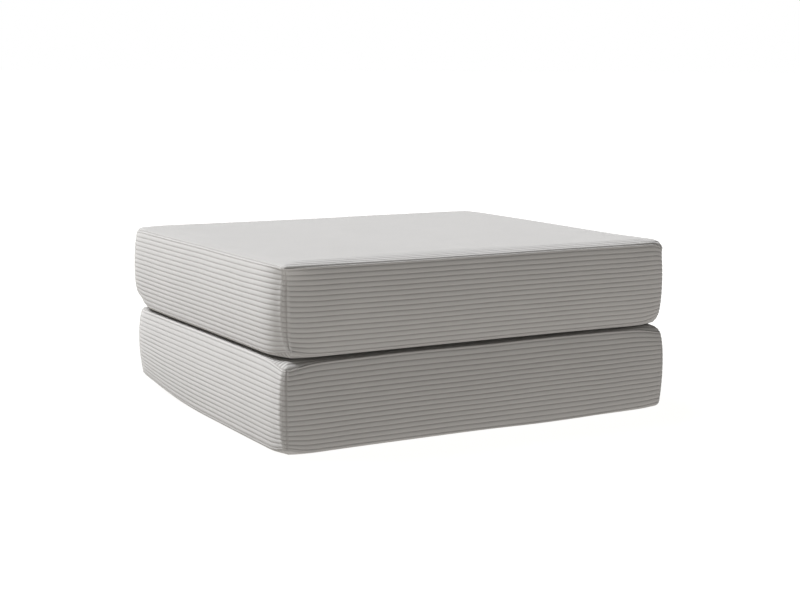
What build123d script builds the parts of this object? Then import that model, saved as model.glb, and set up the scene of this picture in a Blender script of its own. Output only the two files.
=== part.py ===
# Fold-out ottoman guest bed: two foam slabs in corduroy covers, joined along one short side by
# a strip of cover cloth. Folded, one slab lies on the other and they make an ottoman. Folded
# out, they lie end to end and make a bed as long as both.
#
# Frame: millimetres, +Z up, +X towards the cloth hinge, -Y towards the front. The origin lies on
# the floor, under the middle of the lower slab.
#
# Each slab, from the outside in: a corduroy cover sewn from seven panels, a long zip across its
# back, a thin liner in two halves, two trays of fibre wadding, and a block of foam.

import os

from build123d import *

# Slab, measured over its cover
slab_length = 1000.0  # along X, at the widest part of the bulged sides
slab_depth = 850.0  # along Y, at the widest part of the bulged sides
slab_height = 200.0  # between the flats of its two large panels
crown_rise = 6.5  # how far the large panels rise from their seams to their flats
side_bulge = 6.0  # how far the sides stand out past their seams
corner_radius = 12.0  # upright corners, at the seams
crown_inset = 48.0  # from a seam in to where the large panel is flat
crown_corner_radius = 60.0  # corner of that flat
fold_gap = 0.3  # between the slabs when folded

# The crown curves up from the seam through these places: a share of crown_inset inwards, and a
# share of the crown's rise above the seam. The middle one lies on the curve that ends level.
crown_shares = ((0.0, 0.0), (0.35, 0.57), (1.0, 1.0))

# Layers
cover_thickness = 2.5
liner_thickness = 1.0
layer_gap = 0.3  # between one layer and the next
foam_side_margin = 18.0  # from the widest part of a side in to the foam block
foam_flat_margin = 12.0  # from the flat of a large panel in to the foam block
foam_corner_radius = 24.0
foam_edge_radius = 10.0

# Cloth hinge: a strip sewn into the two seams that face each other at +X
hinge_strip_thickness = 2.5
hinge_end_margin = 18.0  # from the start of a corner's round to the strip's end
hinge_side_clearance = 2.0  # from the widest part of the sides out to the fold axis

# Zip across the back of each cover
zip_opening = 12.0  # between the two folded edges of cloth
zip_end_margin = 4.0  # from the corner seam to the chain's end, the slider or a stop
tape_width = 14.0
tape_thickness = 1.0
tape_split = 2.0  # between the two tapes' inner edges
coil_width = 2.8
coil_height = 2.0
coil_split = 0.3
stop_length = 3.0
stop_height = 1.6
chain_end_gap = 0.4  # from the chain to the slider's neck, and from the slider to a stop

# Slider: two plates round the chain, a neck between them and a bail for the pull
plate_length = 12.0
plate_thickness = 1.2
top_plate_width = 9.6
bottom_plate_width = 8.0
flange_thickness = 1.4
slider_clearance = 0.3
neck_length = 2.4
neck_width = 1.3
bail_length = 6.0
bail_width = 2.0
bail_height = 3.4
bail_bore_height = 1.9  # from the top plate out to the bore's axis
slider_edge_radius = 0.5

# Pull, hinged in the bail
pull_pin_radius = 0.7
pull_pin_clearance = 0.05
pull_arm_gap = 0.3
pull_arm_thickness = 1.2
pull_arm_overhang = 0.9  # arm past the pin's axis
pull_length = 30.0
pull_width = 6.4
pull_thickness = 1.2
pull_tab_start = 5.5  # from the pin's axis to the tab
pull_corner_radius = 1.6
pull_hole_radius = 1.2

# Places that several pieces share
half_flat = slab_height / 2
half_seam = half_flat - crown_rise
back_y = slab_depth / 2
seam_line_x = slab_length / 2 - side_bulge
corner_seam_x = seam_line_x - corner_radius
fold_axis_x = slab_length / 2 + hinge_side_clearance
fold_axis_z = slab_height + fold_gap / 2
slab_rise = {"lower": half_flat, "upper": half_flat + slab_height + fold_gap}
cut_overrun = 20.0  # how far a cutting block runs past what it cuts

# The zip's levels, along Y
tape_outer_y = back_y - cover_thickness - layer_gap
tape_inner_y = tape_outer_y - tape_thickness
coil_outer_y = tape_outer_y + coil_height
plate_inner_y = tape_inner_y - slider_clearance - plate_thickness
top_plate_y = coil_outer_y + slider_clearance
bail_y = top_plate_y + plate_thickness
pull_pin_y = bail_y + bail_bore_height

# The zip's places, along X: closed, the slider waits at the -X end with its neck past the chain
tape_half_length = corner_seam_x - layer_gap
slider_front_x = -(corner_seam_x - zip_end_margin - stop_length - chain_end_gap)
neck_x = slider_front_x + neck_length / 2
chain_start_x = slider_front_x + neck_length + chain_end_gap
chain_end_x = corner_seam_x - zip_end_margin - stop_length
pull_pin_x = slider_front_x + plate_length / 2


def block(x, y, z):
    """A box between two places on each axis."""
    middle = Pos((x[0] + x[1]) / 2, (y[0] + y[1]) / 2, (z[0] + z[1]) / 2)
    return middle * Box(abs(x[1] - x[0]), abs(y[1] - y[0]), abs(z[1] - z[0]))


def outline(inset, height, radius):
    """The slab's plan, drawn in from its seam line, at a height above the slab's middle."""
    length = slab_length - 2 * (side_bulge + inset)
    depth = slab_depth - 2 * (side_bulge + inset)
    return Plane.XY.offset(height) * RectangleRounded(length, depth, radius)


def slab_form(inset):
    """The slab's closed form, drawn in by inset all round: bulged sides between two crowns."""
    seam = half_seam - inset
    radius = corner_radius - inset
    sides = loft(
        [
            outline(inset, -seam, radius),
            outline(inset - side_bulge, 0, radius + side_bulge),
            outline(inset, seam, radius),
        ]
    )
    levels = []
    for inward_share, rise_share in crown_shares:
        levels.append(
            outline(
                inset + inward_share * crown_inset,
                seam + rise_share * crown_rise,
                radius + inward_share * (crown_corner_radius - corner_radius),
            )
        )
    crown = loft(levels)
    return sides + crown + mirror(crown, about=Plane.XY)


def zip_channel(growth):
    """The dent that the zip needs in the layers behind it, grown by a thickness."""
    half_length = tape_half_length + layer_gap + growth
    half_width = tape_split / 2 + tape_width + slider_clearance + growth
    floor = plate_inner_y - slider_clearance - growth
    return block(
        (-half_length, half_length),
        (floor, back_y + cut_overrun),
        (-half_width, half_width),
    )


def cover_panels():
    """The cover's seven sewn panels, as parts of one shell."""
    shell = slab_form(0) - slab_form(cover_thickness)
    far_x = slab_length / 2 + cut_overrun
    far_y = back_y + cut_overrun
    far_z = half_flat + cut_overrun
    whole_x = (-far_x, far_x)
    whole_y = (-far_y, far_y)
    boxing = (-half_seam, half_seam)
    between_corners = (-corner_seam_x, corner_seam_x)
    panels = {
        "top_panel": shell & block(whole_x, whole_y, (half_seam, far_z)),
        "bottom_panel": shell & block(whole_x, whole_y, (-far_z, -half_seam)),
        "front_boxing": shell & block(between_corners, (-far_y, 0), boxing),
        "left_boxing": shell & block((-far_x, -corner_seam_x), whole_y, boxing),
        "right_boxing": shell & block((corner_seam_x, far_x), whole_y, boxing),
    }
    for name, side in (("back_upper_boxing", 1), ("back_lower_boxing", -1)):
        strip = (side * zip_opening / 2, side * half_seam)
        panels[name] = shell & block(between_corners, (0, far_y), strip)
    return panels


def filling():
    """Liner, wadding and foam block, from the outside in."""
    liner_outside = cover_thickness + layer_gap
    liner_inside = liner_outside + liner_thickness
    wadding_outside = liner_inside + layer_gap
    liner = (slab_form(liner_outside) - zip_channel(0)) - (
        slab_form(liner_inside) - zip_channel(liner_thickness)
    )
    hollow_growth = 2 * layer_gap
    foam = foam_block(0)
    wadding = slab_form(wadding_outside) - zip_channel(liner_thickness + layer_gap)
    wadding -= foam_block(hollow_growth)
    far = slab_length
    upper_half = block((-far, far), (-far, far), (0, far))
    lower_half = block((-far, far), (-far, far), (-far, 0))
    return {
        "liner_top_half": liner & upper_half,
        "liner_bottom_half": liner & lower_half,
        "wadding_top_tray": wadding & upper_half,
        "wadding_bottom_tray": wadding & lower_half,
        "foam_block": foam,
    }


def foam_block(growth):
    """The foam block with eased edges, or the hollow for it where growth is a clearance."""
    length = slab_length - 2 * foam_side_margin + growth
    depth = slab_depth - 2 * foam_side_margin + growth
    height = slab_height - 2 * foam_flat_margin + growth
    plan = RectangleRounded(length, depth, foam_corner_radius)
    foam = extrude(Plane.XY.offset(-height / 2) * plan, height)
    rims = foam.faces().sort_by(Axis.Z)
    return fillet(rims[0].edges() + rims[-1].edges(), foam_edge_radius)


def zip_side(side):
    """One tape, its coil and its share of the stops. side is 1 above the chain, -1 below."""
    tape_z = (side * tape_split / 2, side * (tape_split / 2 + tape_width))
    coil_z = (side * coil_split / 2, side * (coil_split / 2 + coil_width))
    stop_z = (side * tape_split / 2, side * (coil_split / 2 + coil_width))
    tape = block(
        (-tape_half_length, tape_half_length), (tape_inner_y, tape_outer_y), tape_z
    )
    coil = block((chain_start_x, chain_end_x), (tape_outer_y, coil_outer_y), coil_z)
    stop_y = (tape_outer_y, tape_outer_y + stop_height)
    front_stop_x = slider_front_x - chain_end_gap
    stops = [
        block((front_stop_x - stop_length, front_stop_x), stop_y, stop_z),
        block((chain_end_x, chain_end_x + stop_length), stop_y, stop_z),
    ]
    return tape, coil, stops


def zip_slider():
    """The slider, closed at the -X end of the chain."""
    span_x = (slider_front_x, slider_front_x + plate_length)
    half_top = top_plate_width / 2
    half_bottom = bottom_plate_width / 2
    top_plate = block(span_x, (top_plate_y, bail_y), (-half_top, half_top))
    top_plate = fillet(top_plate.edges().filter_by(Axis.Y), slider_edge_radius)
    bottom_plate_outer_y = plate_inner_y + plate_thickness
    bottom_plate = block(
        span_x, (plate_inner_y, bottom_plate_outer_y), (-half_bottom, half_bottom)
    )
    bottom_plate = fillet(bottom_plate.edges().filter_by(Axis.Y), slider_edge_radius)
    neck = block(
        (slider_front_x, slider_front_x + neck_length),
        (plate_inner_y, bail_y),
        (-neck_width / 2, neck_width / 2),
    )
    slider = top_plate + bottom_plate + neck
    for side in (1, -1):
        flange_z = (side * (half_top - flange_thickness), side * half_top)
        flange_x = (span_x[0] + slider_edge_radius, span_x[1] - slider_edge_radius)
        flange_y = (tape_outer_y + slider_clearance, bail_y)
        slider += block(flange_x, flange_y, flange_z)
    bail = block(
        (pull_pin_x - bail_length / 2, pull_pin_x + bail_length / 2),
        (bail_y, bail_y + bail_height),
        (-bail_width / 2, bail_width / 2),
    )
    far_edges = bail.edges().filter_by(Axis.Z).sort_by(Axis.Y)[-2:]
    bail = fillet(far_edges, bail_height - bail_bore_height - slider_edge_radius)
    bore = Pos(pull_pin_x, pull_pin_y, 0) * Cylinder(
        pull_pin_radius + pull_pin_clearance, bail_width * 2
    )
    return slider + bail - bore


def zip_pull():
    """The pull, lying along the chain, with its pin through the bail."""
    arm_inner_z = bail_width / 2 + pull_arm_gap
    arm_outer_z = arm_inner_z + pull_arm_thickness
    axis = Pos(pull_pin_x, pull_pin_y, 0)
    pin = axis * Cylinder(pull_pin_radius, 2 * arm_outer_z)
    half_thickness = pull_thickness / 2
    pull_y = (pull_pin_y - half_thickness, pull_pin_y + half_thickness)
    tab_x = (pull_pin_x + pull_tab_start, pull_pin_x + pull_length)
    tab = block(tab_x, pull_y, (-pull_width / 2, pull_width / 2))
    tab = fillet(tab.edges().filter_by(Axis.Y), pull_corner_radius)
    hole_x = tab_x[1] - pull_width / 2
    hole = Pos(hole_x, pull_pin_y, 0) * Cylinder(
        pull_hole_radius, pull_width, rotation=(90, 0, 0)
    )
    pull = pin + tab - hole
    for side in (1, -1):
        pull += block(
            (pull_pin_x - pull_arm_overhang, tab_x[0] + pull_corner_radius),
            pull_y,
            (side * arm_inner_z, side * arm_outer_z),
        )
    return pull


def zip_pieces():
    """Everything of one slab's zip."""
    upper_tape, upper_coil, upper_stops = zip_side(1)
    lower_tape, lower_coil, lower_stops = zip_side(-1)
    return {
        "zip_upper_tape": upper_tape,
        "zip_lower_tape": lower_tape,
        "zip_upper_coil": upper_coil,
        "zip_lower_coil": lower_coil,
        "zip_stops": Compound(upper_stops + lower_stops),
        "zip_slider": zip_slider(),
        "zip_pull": zip_pull(),
    }


def hinge_strip():
    """The strip that joins the slabs: a half round of cloth from one seam to the other."""
    start_x = seam_line_x + layer_gap
    outer_radius = crown_rise + fold_gap / 2
    inner_radius = outer_radius - hinge_strip_thickness
    half_width = slab_depth / 2 - corner_radius - hinge_end_margin
    centre = (start_x, fold_axis_z)
    ring = Pos(*centre) * (Circle(outer_radius) - Circle(inner_radius))
    far = outer_radius * 2
    outer_side = Pos(start_x + far / 2, fold_axis_z) * Rectangle(far, far * 2)
    profile = Plane.XZ.offset(-half_width) * (ring & outer_side)
    return extrude(profile, 2 * half_width)


def main():
    os.makedirs("parts", exist_ok=True)
    pieces = {**cover_panels(), **filling(), **zip_pieces()}
    for slab, rise in slab_rise.items():
        for name, shape in pieces.items():
            export_step(Pos(0, 0, rise) * shape, f"parts/{slab}_{name}.step")
    export_step(hinge_strip(), "parts/hinge_strip.step")
    print("fold axis", fold_axis_x, fold_axis_z)
    print("pull pin", pull_pin_x, pull_pin_y)
    slider_travel = chain_end_x - chain_end_gap - (slider_front_x + plate_length)
    print("slider travel", slider_travel)


main()
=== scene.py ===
import math

import bpy
import numpy as np
from mathutils import Matrix, Vector


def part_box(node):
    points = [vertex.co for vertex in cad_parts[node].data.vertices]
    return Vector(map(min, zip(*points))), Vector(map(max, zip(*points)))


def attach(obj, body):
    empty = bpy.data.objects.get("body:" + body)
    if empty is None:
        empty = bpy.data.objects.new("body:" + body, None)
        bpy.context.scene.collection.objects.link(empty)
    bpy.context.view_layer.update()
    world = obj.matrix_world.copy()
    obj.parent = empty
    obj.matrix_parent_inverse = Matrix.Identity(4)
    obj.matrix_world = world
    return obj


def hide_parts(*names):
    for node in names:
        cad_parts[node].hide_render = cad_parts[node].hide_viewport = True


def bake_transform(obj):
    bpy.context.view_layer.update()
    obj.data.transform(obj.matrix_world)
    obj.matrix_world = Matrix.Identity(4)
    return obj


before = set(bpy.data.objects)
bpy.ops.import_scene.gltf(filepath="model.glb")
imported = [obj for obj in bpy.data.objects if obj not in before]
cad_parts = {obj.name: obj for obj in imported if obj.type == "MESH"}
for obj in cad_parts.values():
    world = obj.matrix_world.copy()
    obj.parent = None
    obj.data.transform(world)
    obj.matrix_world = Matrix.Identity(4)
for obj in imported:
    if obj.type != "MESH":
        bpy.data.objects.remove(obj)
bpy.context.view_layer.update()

MM = 0.001
TINY = 1e-9
NO_LENGTH = 1e-12  # keeps a vector without length from dividing by zero
FAR = 1.0  # a distance at which stitches have no effect
SLABS = ("lower", "upper")

# Corduroy
WALE_HEIGHT = 1.8 * MM
TAUT_WALE_HEIGHT = 1.2 * MM  # on the boxings, which are pulled taut
PANEL_WALES = 77
BOXING_WALES = 17.2  # from seam to seam, so that a part of one shows at each seam
WALE_STATIONS = (0.0, 0.06, 0.15, 0.32, 0.68, 0.85, 0.94)  # across a wale, as shares of it
WALE_FULLNESS = 2.6  # the higher, the broader the ridges and the narrower the grooves
CLOTH_THICKNESS = 1.2 * MM
PANEL_STEP = 15 * MM  # between stations along the wales
BOXING_STEP = 12 * MM
LEAST_STEP = 0.6 * MM
LEAST_RISE = 0.45 * MM  # between levels
BEND_STATIONS = 9  # round an upright corner
BEND_REACH = 6 * MM  # from a corner to the station beside it
ZIP_BEND_STATIONS = 7  # over that reach on the strips beside the zip
# Patches of crushed and of worn pile: seed step, length, noise cells to a wale, share of the height
PILE_PATCHES = ((0, 70 * MM, 0.37, 0.10), (5, 16 * MM, 2.3, 0.05))
PANEL_WANDER = (90 * MM, 0.4 * MM)  # how the wales wander from their lines: length and depth
BOXING_WANDER = (80 * MM, 0.45 * MM)
WANDER_CELLS = 0.31  # noise cells to a wale
WANDER_FADE = 20 * MM  # from a seam, where they don't wander

# Seams and stitches
SEAM_DEPTH = 1.9 * MM
SEAM_WIDTH = 1.9 * MM
SEAM_FLAT = 1.4 * MM  # how far from a seam the wales are flat, and how far the painted seam shade reaches
SEAM_SHADE_REACH = 1.6 * MM
SEAM_GROOVE = 0.5  # the share of the wales' height that a seam lies deeper
SEAM_SHADE_SHARE = 0.8  # how much the painted seam shade darkens the colour mask
# how much the painted shade along stitch lines darkens the colour mask
STITCH_SHADE_SHARE = 0.45
FOLD_DEPTH = 1.0 * MM  # where cloth is only folded under, beside the zip
UPRIGHT_DEPTH = 1.3 * MM  # an upright seam is pulled in less
SEAM_STATIONS = (0.0, 0.7, 1.4, 2.2, 3.2, 4.6, 6.0, 7.0, 8.0, 9.5, 12.5, 17.0)  # beside one, in mm
LEVEL_STATIONS = 6  # of those, where the seam runs along the wales
SEAM_TURNS = {"lower": math.radians(24), "upper": math.radians(40)}  # the upright seam's place
TOPSTITCH = 7.0 * MM  # from an upright seam to the stitches that hold its allowance down
ZIP_TOPSTITCH = 3.6 * MM  # from the folded edge beside the zip to its stitches
STITCH_DEPTH = 0.9 * MM
STITCH_WIDTH = 1.0 * MM
STITCH_PITCH = 3.4 * MM
STITCH_SHAPE = (1.35, 0.42, 0.42)  # its half length, width and height, in mm
STITCH_SUNK = 0.3 * MM
UPRIGHT_END = 5 * MM  # from the seams to the ends of the upright rows, and of the zip's rows
ZIP_ROW_END = 9 * MM
UPRIGHT_ROW_PLACES = 60
ZIP_ROW_PLACES = 160

# Zip
ZIP_HALF = 6 * MM
ZIP_ROOM = 0.72 * MM  # from the zip's middle to its teeth: the slider's neck passes between them
SLIT_RUN = 5.0 * MM  # over which the folded edges meet past the stops
SLIT_LEAD = 0.5 * MM
SLIT_REACH = 18 * MM  # how far up and down the cloth follows them
COIL_PITCH = 2.0 * MM
COIL_STARTS = {1: 0.7 * MM, -1: 1.7 * MM}  # of the upper (1) and the lower coil's first turn
COIL_RADIUS = 1.0 * MM
COIL_WIRE = 0.3 * MM
COIL_END = 0.5 * MM

# Cloth hinge
HINGE_WALES = 2
HINGE_STEP = 11 * MM
HINGE_DRAW = 55 * MM  # how much shorter the strip ends, where the corners of the covers draw in
HINGE_DEPTH = 0.6 * MM

# Inner layers: node's last word, slot, inset, and thickness of the flat and of the sides
LAYERS = {
    "liner": ("half", "liner_cloth", 3.4 * MM, 0.8 * MM, 0.8 * MM),
    "wadding": ("tray", "wadding", 4.6 * MM, 6.6 * MM, 11.5 * MM),
}
LAYER_GRID = (61, 53)
LAYER_RIM = 0.78  # the share of a layer's grid that lies on the large panel
LAYER_FOLD = 0.07  # how near a grid's diagonal a layer's side keeps its plain direction
ZIP_DENT = 4.2 * MM  # how far a layer gives way behind the zip
ZIP_DENT_HEIGHT = 34 * MM  # where that starts above and below the zip
ZIP_DENT_RISE = 14 * MM  # over which it grows
ZIP_DENT_PAST = 6 * MM  # how far it goes on past the zip's ends
ZIP_DENT_BACK = 350 * MM  # only places further back give way
FOAM_CUTS = 29
FOAM_EASES = (([0, 1], 24 * MM), ([0, 1, 2], 10 * MM))  # the upright edges, then all edges
FOAM_DRAW = 0.9

# Large panels: share of the rise right beside the seam, its reach, and the reach of the rest
CROWN_EDGE_SHARE = 0.6
CROWN_EDGE = 5 * MM
CROWN_REACH = 48 * MM

# Corners of the filled covers at the top (1) and bottom (-1): inwards, to the middle, reach, in mm
CORNER_DRAWS = {
    ("upper", 1): {
        (-1, -1): (3, 1.5, 40), (-1, 1): (5, 2, 36), (1, -1): (4, 13, 22), (1, 1): (6, 5, 40),
    },
    ("upper", -1): {
        (-1, -1): (8, 10, 48), (-1, 1): (10, 21, 46), (1, -1): (4, 16, 40), (1, 1): (12, 12, 44),
    },
    ("lower", 1): {
        (-1, -1): (7, 10, 48), (-1, 1): (7, -2, 36), (1, -1): (6, 9, 46), (1, 1): (10, 9, 44),
    },
    ("lower", -1): {
        (-1, -1): (4, 11, 36), (-1, 1): (1, -4, 80), (1, -1): (2, 5, 40), (1, 1): (14, 12, 48),
    },
}
# Corners that stray from square: along X, along Y and the bottom's lift, in mm
CORNER_STRAYS = {"upper": {(-1, 1): (-1, 3, 0)}, "lower": {(-1, 1): (3, -2, 31)}}
# How corners give way: along X and Y half way up, both at the bottom, reach along X and Y, in mm
CORNER_EASES = {
    "upper": {
        (-1, -1): (4, 18, 5, 44, 38), (-1, 1): (1, 1, 0, 30, 30),
        (1, -1): (1.5, 1.5, 0, 30, 30), (1, 1): (2, 2, 2, 30, 30),
    },
    "lower": {
        (-1, -1): (2, 4, 0, 34, 34), (-1, 1): (1, 1, 0, 30, 30),
        (1, -1): (1.5, 1.5, 0, 30, 30), (1, 1): (2, 2, 0, 30, 30),
    },
}
EDGE_REACH = 14 * MM  # how far in from its seam a large panel follows the drawn level
# The upper slab's short sides, left (-1) and right (1), by their front corners: ease, reach, in mm
UPPER_EASES = {-1: (10, 58), 1: (8.2, 36)}
EASE_REACH = 15 * MM  # how far in from the side
LOWER_LEAN = 6 * MM  # how far the lower slab's left side draws in down to its bottom
# How far load presses the lower slab's seams level with its faces, and the bottom's place and reach
TOP_PRESS = 5.2 * MM
BOTTOM_PRESS = 5.4 * MM
BOTTOM_SWELL = (170 * MM, 230 * MM)
# Slow unevenness of a hand-filled cover
UNEVEN_SIZE = 190 * MM
UNEVEN_DEPTH = 1.3 * MM

# Simulated softness
SIM_CELL = 24 * MM
SIM_LEVELS = 11
SIM_CAP = 6 * MM
SIM_FRAMES = 20
UPPER_RISE = 1.5 * MM  # how far the free top may swell past its flat height
SIM_SETTINGS = {
    "quality": 6,
    "mass": 0.4,
    "tension_stiffness": 25,
    "compression_stiffness": 25,
    "shear_stiffness": 12,
    "bending_stiffness": 2,
    "use_pressure": True,
    "uniform_pressure_force": 3,
    "vertex_group_mass": "seams",
    "pin_stiffness": 1,
}

# Seeds of the smooth noise, and what each next slab adds
CUSHION_SEED = 3
CUSHION_SEED_STEP = 11
HINGE_SEED = 31
PANEL_SEED = 40
BOXING_SEED = 80
SEED_STEP = 10

# Whole numbers that scramble the cells of the smooth noise
SCRAMBLE_SEED = (7919, 17)
SCRAMBLE_FACTOR = 1103515245
SCRAMBLE_STEP = 12345
SCRAMBLE_AXIS = 7321
SCRAMBLE_BITS = 0x7FFFFFFF


# Smooth noise that is the same in every run


def value_noise(seed, *places):
    """Smooth noise from -1 to 1 at places given in lattice cells, one array for each direction."""
    places = np.broadcast_arrays(*[np.asarray(p, float) for p in places])
    cells = [np.floor(p).astype(np.int64) for p in places]
    eases = []
    for place, cell in zip(places, cells):
        part = place - cell
        eases.append(part * part * (3 - 2 * part))
    total = 0.0
    for corner in range(2 ** len(places)):
        mixed = np.full(places[0].shape, seed * SCRAMBLE_SEED[0] + SCRAMBLE_SEED[1], np.int64)
        weight = 1.0
        for axis, (cell, ease) in enumerate(zip(cells, eases)):
            far = (corner >> axis) & 1
            step = (cell + far) * (SCRAMBLE_STEP + SCRAMBLE_AXIS * axis)
            mixed = (mixed * SCRAMBLE_FACTOR + step) & SCRAMBLE_BITS
            mixed = (mixed ^ (mixed >> 13)) & SCRAMBLE_BITS
            weight = weight * (ease if far else 1 - ease)
        mixed = (mixed * SCRAMBLE_FACTOR + SCRAMBLE_STEP) & SCRAMBLE_BITS
        total = total + weight * (((mixed >> 7) & 0xFFFF) / 32767.5 - 1)
    return total


def bell(distance, reach):
    """1 at no distance, falling to 0 over a reach."""
    return np.exp(-((distance / reach) ** 2))


def unit(vector):
    return vector / np.maximum(np.linalg.norm(vector, axis=-1, keepdims=True), NO_LENGTH)


# The measures of a slab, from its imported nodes


class Slab:
    """One slab's measures, in metres, with z counted from its middle."""

    def __init__(self, name):
        self.name = name
        self.number = SLABS.index(name)
        panel_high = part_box(f"{name}_top_panel")[1]
        bottom_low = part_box(f"{name}_bottom_panel")[0]
        front_low, front_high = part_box(f"{name}_front_boxing")
        self.seam_x, self.seam_y = panel_high.x, panel_high.y
        self.corner_x = front_high.x
        self.radius = self.seam_x - self.corner_x
        self.corner_y = self.seam_y - self.radius
        self.middle_z = (front_low.z + front_high.z) / 2
        self.half_seam = (front_high.z - front_low.z) / 2
        self.half_flat = (panel_high.z - bottom_low.z) / 2
        self.bulge = -front_low.y - self.seam_y
        self.arc_length = self.radius * math.pi / 2
        self.lay_seam_line()

    def lay_seam_line(self):
        """The seam line from the front's left end on, and the span of each boxing along it.

        A run is straight, with a corner's arc after it: start, length, first point, facing."""
        x, y = self.corner_x, self.corner_y
        self.runs = []
        start = 0.0
        for length, from_x, from_y, facing in (
            (2 * x, -x, -self.seam_y, -90),
            (2 * y, self.seam_x, -y, 0),
            (2 * x, x, self.seam_y, 90),
            (2 * y, -self.seam_x, y, 180),
        ):
            self.runs.append((start, length, from_x, from_y, math.radians(facing)))
            start += length + self.arc_length
        self.round_length = start
        turn = self.radius * SEAM_TURNS[self.name]
        self.back = self.runs[2][0], self.runs[2][0] + 2 * x
        ends = (-turn, 2 * x + turn, self.back[0] - turn, self.back[1] + turn, start - turn)
        self.spans = dict(zip(("front", "right", "back", "left"), zip(ends, ends[1:])))

    def row_end(self, y):
        """Half the length of the panel at a place across it, with its rounded corners."""
        into_corner = np.clip(np.abs(y) - self.corner_y, 0, self.radius)
        return self.corner_x + np.sqrt(np.maximum(self.radius**2 - into_corner**2, 0))

    def inset(self, x, y):
        """Distance from the seam line in to a place on the large panel."""
        over_x = np.abs(x) - self.corner_x
        over_y = np.abs(y) - self.corner_y
        outside = np.hypot(np.maximum(over_x, 0), np.maximum(over_y, 0))
        inside = np.minimum(np.maximum(over_x, over_y), 0)
        return np.maximum(self.radius - outside - inside, 0)

    def outward(self, x, y):
        """The level direction from a place on the large panel to the nearest seam."""
        over_x = np.abs(x) - self.corner_x
        over_y = np.abs(y) - self.corner_y
        at_corner = (over_x > 0) & (over_y > 0)
        length = np.maximum(np.hypot(over_x, over_y), TINY)
        to_x = np.where(at_corner, over_x / length, np.where(over_x > over_y, 1.0, 0.0))
        to_y = np.where(at_corner, over_y / length, np.where(over_x > over_y, 0.0, 1.0))
        return to_x * np.sign(x), to_y * np.sign(y)

    def crown(self, inset):
        """Height of the large panel over the middle, at a distance in from its seam."""
        far = np.clip(inset / CROWN_REACH, 0, 1)
        beside = CROWN_EDGE_SHARE * (1 - np.exp(-inset / CROWN_EDGE))
        rise = beside + (1 - CROWN_EDGE_SHARE) * (2 * far - far**2)
        return self.half_seam + (self.half_flat - self.half_seam) * rise

    def round_place(self, along):
        """Points on the seam line and their level outward directions, by distance along it."""
        along = np.mod(along, self.round_length)
        x, y, nx, ny = (np.zeros_like(along) for _ in range(4))
        for start, length, from_x, from_y, face in self.runs:
            run = np.clip(along - start, 0, length)
            turn = face + np.maximum(along - start - length, 0) / self.radius
            cos, sin = np.cos(turn), np.sin(turn)
            on = along >= start
            end_x = from_x - self.radius * math.cos(face)
            end_y = from_y - self.radius * math.sin(face)
            x = np.where(on, end_x - math.sin(face) * run + self.radius * cos, x)
            y = np.where(on, end_y + math.cos(face) * run + self.radius * sin, y)
            nx = np.where(on, cos, nx)
            ny = np.where(on, sin, ny)
        return x, y, nx, ny

    def along_at(self, x, y):
        """Distances along the seam line of points on it."""
        on, along = [], []
        for start, length, from_x, from_y, face in self.runs:
            out = (x - from_x) * math.cos(face) + (y - from_y) * math.sin(face)
            ahead = (y - from_y) * math.cos(face) - (x - from_x) * math.sin(face)
            turn = np.maximum(np.arctan2(ahead - length, out + self.radius), 0)
            on.append((ahead > -TINY) & (out > TINY - self.radius))
            along.append(start + np.minimum(ahead, length) + self.radius * turn)
        return np.select(on, along)

    def near(self, place, sides, reach_x, reach_y):
        """How near places are to an upright corner, from 0 to 1. The reaches are in mm."""
        away_x = place[..., 0] - sides[0] * self.seam_x
        away_y = place[..., 1] - sides[1] * self.seam_y
        return bell(away_x, reach_x * MM) * bell(away_y, reach_y * MM)


# The soft form of a slab: a coarse closed cushion, blown up by the cloth simulation


def corner_draw(slab, place, inset):
    """How the corners and sides of a filled cover draw in, as a displacement of each place."""
    x, y, height = place[..., 0], place[..., 1], place[..., 2] / slab.half_seam
    moved = np.zeros_like(place)
    edge = np.exp(-((inset / EDGE_REACH) ** 1.5))
    for face in (1, -1):
        high = np.clip(face * height, 0, 1)
        for sides, (inward, level, reach) in CORNER_DRAWS[slab.name, face].items():
            near = slab.near(place, sides, reach, reach) * MM
            for axis, side in enumerate(sides):
                moved[..., axis] -= side * inward * math.sqrt(0.5) * near * high**4
            moved[..., 2] -= face * level * near * high**3 * edge
    between = np.clip(1 - height**4, 0, 1)
    down = np.clip((1 - height) / 2, 0, 1)
    if slab.name == "upper":
        low = 1 - np.clip(height, 0, 1) ** 6
        at_side = bell(np.abs(x) - slab.seam_x, EASE_REACH) * low
        for side, (ease, reach) in UPPER_EASES.items():
            near = (y < 0) * (side * x > 0) * bell(y + slab.seam_y, reach * MM)
            moved[..., 0] -= side * ease * MM * near * at_side
    else:
        back = np.clip((y / slab.seam_y + 1.5) / 2.5, 0, 1)
        moved[..., 0] += LOWER_LEAN * down * back * np.clip(-x / slab.seam_x, 0, 1) ** 2
    for sides, strays in CORNER_STRAYS[slab.name].items():
        share = np.clip(sides[0] * x / slab.seam_x, 0, 1)
        share = share * np.clip(sides[1] * y / slab.seam_y, 0, 1)
        for axis, (stray, weight) in enumerate(zip(strays, (1, 1, down**2))):
            moved[..., axis] += stray * MM * share**2 * weight
    for sides, (*middle, low, reach_x, reach_y) in CORNER_EASES[slab.name].items():
        near = slab.near(place, sides, reach_x, reach_y) * MM
        for axis, side in enumerate(sides):
            moved[..., axis] -= side * near * (middle[axis] * between + low * down)
    return moved


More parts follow.
